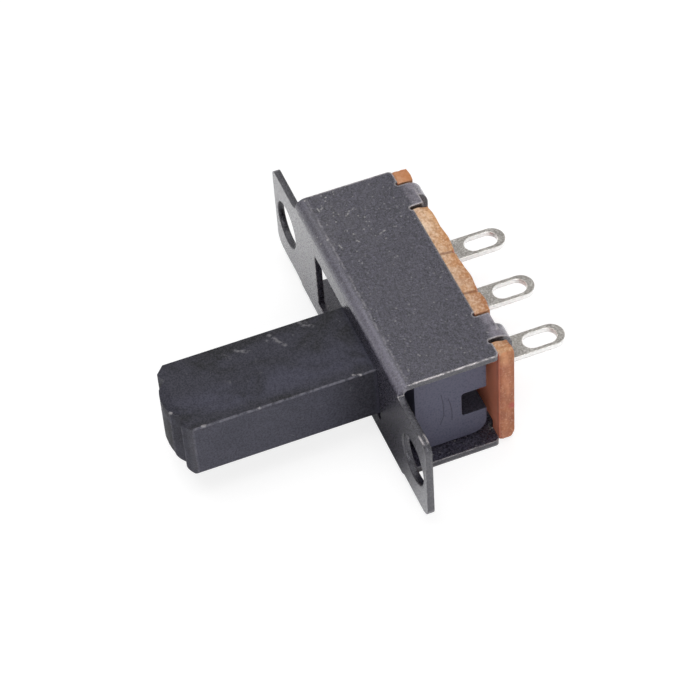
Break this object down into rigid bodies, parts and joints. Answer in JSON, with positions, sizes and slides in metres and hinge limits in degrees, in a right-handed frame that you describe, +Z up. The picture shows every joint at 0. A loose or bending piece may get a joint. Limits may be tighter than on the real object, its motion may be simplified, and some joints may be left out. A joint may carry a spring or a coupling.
{
  "type": "slide switch",
  "caption": "Miniature panel slide switch: folded steel bracket with two fixing ears, long sliding handle, terminal board and flat solder tags.",
  "frame": {"origin": "centre of the flange's front face, midway between the two fixing holes", "axes": "+X along the handle's travel, -Y out of the panel along the handle, +Z up through the upper side plate"},
  "size_m": [0.018, 0.0177, 0.0058],
  "materials": {
    "bracket_paint": "satin dark grey paint with worn bare edges",
    "black_moulding": "matt black moulding, scuffed",
    "spring_bronze": "bright rolled strip",
    "paper_laminate": "brown paper laminate with sheared edges",
    "tinned_brass": "dull tin plate"
  },
  "bodies": {
    "housing": {"bracket": "bracket_paint", "terminal_board": "paper_laminate", "terminal_left": "tinned_brass", "terminal_middle": "tinned_brass", "terminal_right": "tinned_brass"},
    "slider": {"slider": "black_moulding", "contact_clip": "spring_bronze"}
  },
  "joints": [
    {"name": "slider_travel", "type": "slide", "parent": "housing", "child": "slider", "axis": [1, 0, 0], "range_m": [-0.003, 0]}
  ]
}
